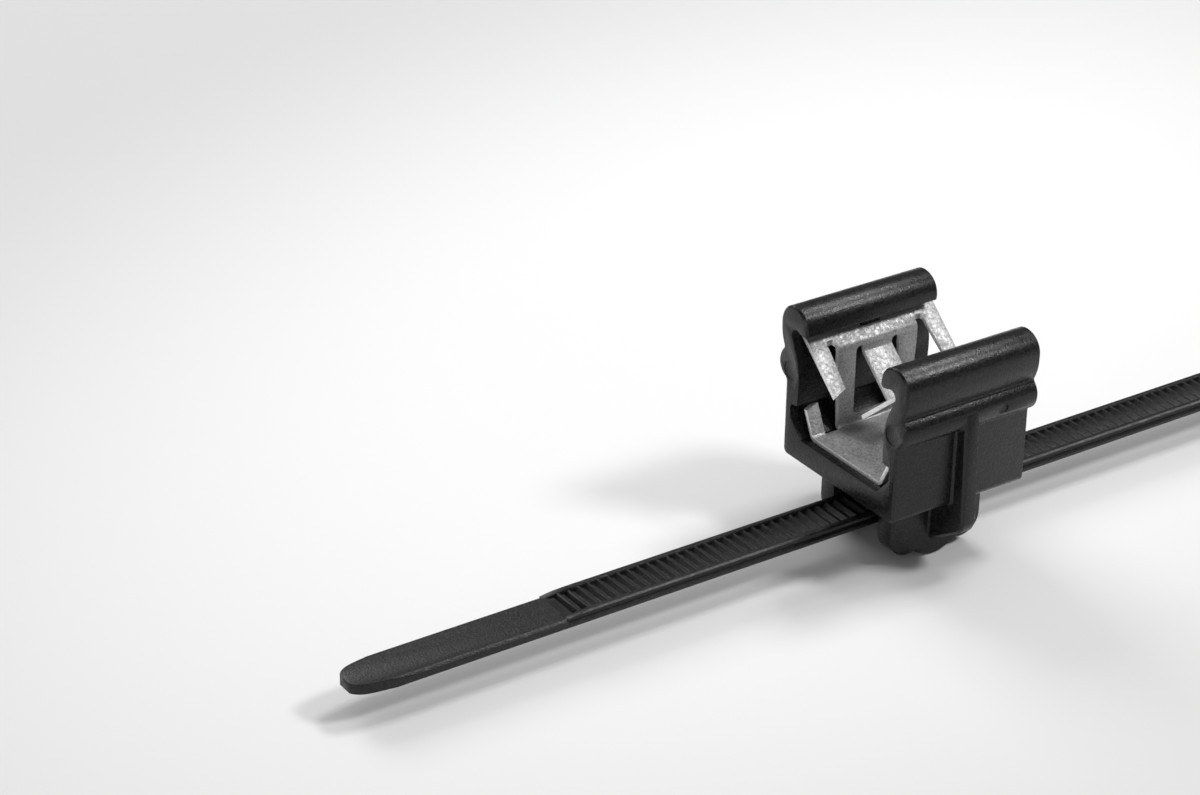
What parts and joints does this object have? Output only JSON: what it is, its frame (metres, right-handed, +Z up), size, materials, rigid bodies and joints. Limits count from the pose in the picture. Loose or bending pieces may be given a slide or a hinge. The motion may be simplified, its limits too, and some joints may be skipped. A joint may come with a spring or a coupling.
{
  "type": "cable edge clip",
  "caption": "Moulded U clip with a barbed spring insert that grips a panel edge, and a toothed cable tie through a saddle on its back",
  "frame": {"origin": "where a panel's edge comes to rest: the middle of the channel, on the face of the insert's plate", "axes": "+X along the tie towards its head, +Y across the clip from wall to wall, +Z up, out of the clip's mouth"},
  "size_m": [0.2, 0.0196, 0.0219],
  "materials": {
    "housing_plastic": "satin moulded black",
    "spring_steel": "dull galvanised",
    "tie_plastic": "satin moulded black"
  },
  "bodies": {
    "clip": {"clip_housing": "housing_plastic", "spring_insert": "spring_steel"},
    "tie": {"cable_tie": "tie_plastic"}
  },
  "joints": [
    {"name": "tie_slide", "type": "slide", "parent": "clip", "child": "tie", "axis": [1, 0, 0], "range_m": [-0.1245, 0.05]}
  ]
}
